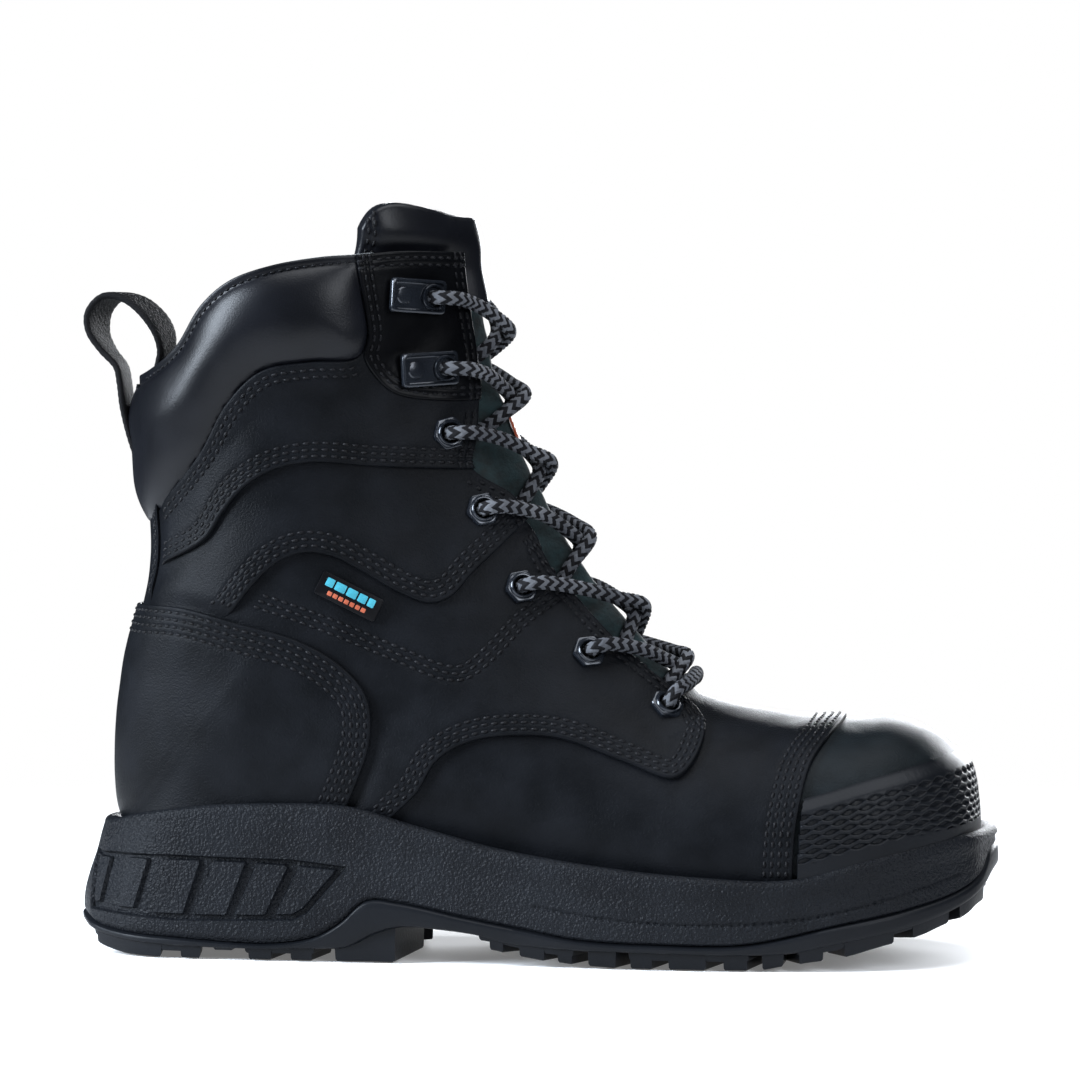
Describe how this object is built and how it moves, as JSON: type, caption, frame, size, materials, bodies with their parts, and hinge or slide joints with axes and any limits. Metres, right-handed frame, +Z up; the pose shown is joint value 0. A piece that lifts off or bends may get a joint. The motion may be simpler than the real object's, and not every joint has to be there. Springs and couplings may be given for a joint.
{
  "type": "work boot",
  "caption": "Lace-up safety work boot, right foot, with padded collar, protective toe cap, toe bumper, webbing pull loop and lugged rubber sole.",
  "frame": {"origin": "on the ground plane under the middle of the boot: half its length and half its width", "axes": "+X to the toe, -Y to the outer (lateral) side, +Z up"},
  "size_m": [0.314, 0.117, 0.254],
  "materials": {
    "oiled_leather": "semi-matt blue-black full-grain leather",
    "coated_toe_leather": "matt grey-green coated leather",
    "smooth_leather": "smooth semi-gloss leather",
    "sole_rubber": "matt stippled blue-black rubber",
    "foam": "soft closed-cell foam",
    "textile_lining": "napped textile",
    "tongue_textile": "mottled teal-black textile",
    "composite": "moulded fibre-filled plastic",
    "black_nickel": "black nickel, gloss",
    "lace_braid": "black braid with pale grey herringbone fleck",
    "webbing": "ribbed black webbing",
    "label_black": "soft gloss black",
    "label_red": "woven red-orange label",
    "fibre_board": "plain fibre board",
    "shank_steel": "plain rolled steel"
  },
  "bodies": {
    "boot": {"facing_lateral": "smooth_leather", "shaft_panel_lateral": "oiled_leather", "mid_panel_lateral": "oiled_leather", "quarter_lateral": "oiled_leather", "facing_medial": "smooth_leather", "shaft_panel_medial": "oiled_leather", "mid_panel_medial": "oiled_leather", "quarter_medial": "oiled_leather", "vamp": "oiled_leather", "safety_toe_cap": "composite", "toe_cap_leather": "coated_toe_leather", "toe_bumper": "sole_rubber", "heel_counter": "oiled_leather", "counter_stiffener": "composite", "backstay": "oiled_leather", "collar": "smooth_leather", "collar_foam": "foam", "collar_lining": "textile_lining", "lining": "textile_lining", "tongue": "tongue_textile", "gusset_lateral": "tongue_textile", "gusset_medial": "tongue_textile", "midsole": "sole_rubber", "outsole": "sole_rubber", "anti_fatigue_insert": "foam", "shank": "shank_steel", "insole_board": "fibre_board", "eyelet_lateral_1": "black_nickel", "eyelet_lateral_2": "black_nickel", "eyelet_lateral_3": "black_nickel", "eyelet_lateral_4": "black_nickel", "eyelet_lateral_5": "black_nickel", "lace_hook_lateral_1": "black_nickel", "hook_rivet_lateral_1": "black_nickel", "lace_hook_lateral_2": "black_nickel", "hook_rivet_lateral_2": "black_nickel", "eyelet_medial_1": "black_nickel", "eyelet_medial_2": "black_nickel", "eyelet_medial_3": "black_nickel", "eyelet_medial_4": "black_nickel", "eyelet_medial_5": "black_nickel", "lace_hook_medial_1": "black_nickel", "hook_rivet_medial_1": "black_nickel", "lace_hook_medial_2": "black_nickel", "hook_rivet_medial_2": "black_nickel", "lace": "lace_braid", "aglet_lateral": "label_black", "aglet_medial": "label_black", "pull_loop_base": "webbing", "tongue_tab": "label_red"},
    "pull_loop_body": {"pull_loop": "webbing"},
    "tongue_top": {"tongue_top_pad": "smooth_leather"},
    "footbed_body": {"footbed": "foam"},
    "tab_flap": {"side_tab": "label_black"}
  },
  "joints": [
    {"name": "pull_loop_swing", "type": "hinge", "parent": "boot", "child": "pull_loop_body", "pos_m": [-0.1415, 0, 0.202], "axis": [0, 1, 0], "range_deg": [-40, 8], "stiffness_Nm_per_rad": 0.02},
    {"name": "tongue_top_fold", "type": "hinge", "parent": "boot", "child": "tongue_top", "pos_m": [-0.024, 0, 0.2405], "axis": [0, 1, 0], "range_deg": [0, 35], "stiffness_Nm_per_rad": 0.05},
    {"name": "footbed_lift", "type": "slide", "parent": "boot", "child": "footbed_body", "axis": [0, 0, 1], "range_m": [0, 0.012]},
    {"name": "side_tab_flip", "type": "hinge", "parent": "boot", "child": "tab_flap", "pos_m": [-0.06889, -0.0373, 0.13105], "axis": [-0.8923, -0.0687, 0.4462], "range_deg": [0, 70]}
  ]
}
